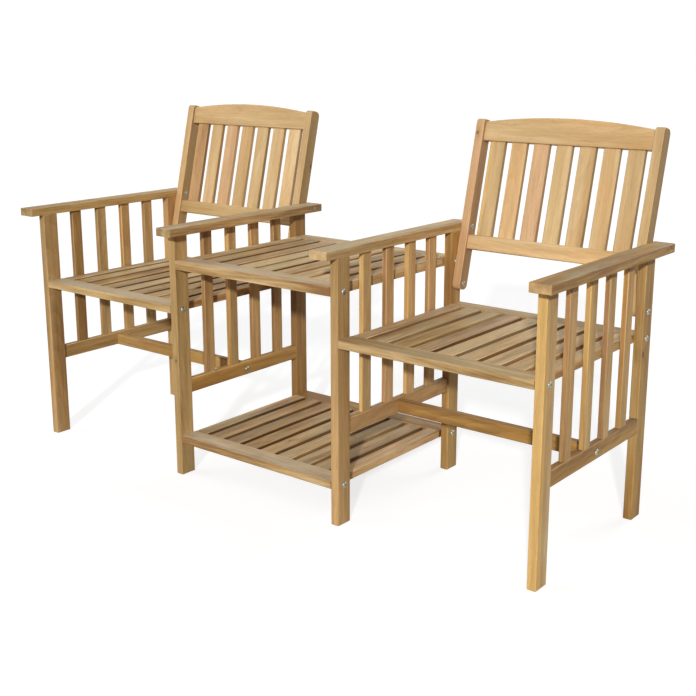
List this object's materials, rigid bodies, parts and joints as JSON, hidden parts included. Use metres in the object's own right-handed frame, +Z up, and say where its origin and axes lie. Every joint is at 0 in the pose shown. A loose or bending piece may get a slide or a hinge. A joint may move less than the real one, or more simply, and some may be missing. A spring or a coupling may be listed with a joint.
{
  "type": "garden bench with side table",
  "caption": "Two slatted wooden armchairs with raked backs and arched top rails, joined by a slatted table with a shelf below.",
  "frame": {"origin": "middle of the bounding box, on the ground under the table", "axes": "+X to the right as seen from the front, along the bench, +Y to the back, +Z up"},
  "size_m": [1.601, 0.615, 0.8973],
  "materials": {
    "leg_wood": "light oiled hardwood, honey tan with golden streaks",
    "armrest_wood": "light oiled hardwood, slightly greyer on top",
    "side_wood": "light oiled hardwood, honey tan to orange",
    "panel_wood": "light oiled hardwood, slightly greyer on top",
    "backrest_wood": "light oiled hardwood, pinkish to straw tan"
  },
  "bodies": {
    "root": {"left_chair_left_front_leg": "leg_wood", "left_chair_left_rear_leg": "leg_wood", "left_chair_left_slatted_side_rail": "side_wood", "left_chair_left_armrest": "armrest_wood", "left_chair_right_front_leg": "leg_wood", "left_chair_right_rear_leg": "leg_wood", "left_chair_right_slatted_side_rail": "side_wood", "left_chair_right_armrest": "armrest_wood", "left_seat_front_rail": "panel_wood", "left_seat_slatted_rear_rail": "panel_wood", "left_seat_left_board": "panel_wood", "left_seat_right_board": "panel_wood", "left_chair_stretcher": "side_wood", "left_chair_back_left_stile": "backrest_wood", "left_chair_back_right_stile": "backrest_wood", "left_chair_back_top_rail": "backrest_wood", "left_chair_back_bottom_rail": "backrest_wood", "left_chair_back_slat_1": "backrest_wood", "left_chair_back_slat_2": "backrest_wood", "left_chair_back_slat_3": "backrest_wood", "left_chair_back_slat_4": "backrest_wood", "left_chair_back_slat_5": "backrest_wood", "left_chair_back_slat_6": "backrest_wood", "left_chair_back_slat_7": "backrest_wood", "right_chair_left_front_leg": "leg_wood", "right_chair_left_rear_leg": "leg_wood", "right_chair_left_slatted_side_rail": "side_wood", "right_chair_left_armrest": "armrest_wood", "right_chair_right_front_leg": "leg_wood", "right_chair_right_rear_leg": "leg_wood", "right_chair_right_slatted_side_rail": "side_wood", "right_chair_right_armrest": "armrest_wood", "right_seat_front_rail": "panel_wood", "right_seat_slatted_rear_rail": "panel_wood", "right_seat_left_board": "panel_wood", "right_seat_right_board": "panel_wood", "right_chair_stretcher": "side_wood", "right_chair_back_left_stile": "backrest_wood", "right_chair_back_right_stile": "backrest_wood", "right_chair_back_top_rail": "backrest_wood", "right_chair_back_bottom_rail": "backrest_wood", "right_chair_back_slat_1": "backrest_wood", "right_chair_back_slat_2": "backrest_wood", "right_chair_back_slat_3": "backrest_wood", "right_chair_back_slat_4": "backrest_wood", "right_chair_back_slat_5": "backrest_wood", "right_chair_back_slat_6": "backrest_wood", "right_chair_back_slat_7": "backrest_wood", "table_top_front_rail": "panel_wood", "table_top_slatted_rear_rail": "panel_wood", "table_top_left_board": "panel_wood", "table_top_right_board": "panel_wood", "table_shelf_front_rail": "panel_wood", "table_shelf_slatted_rear_rail": "panel_wood", "table_shelf_left_board": "panel_wood", "table_shelf_right_board": "panel_wood"}
  },
  "joints": []
}
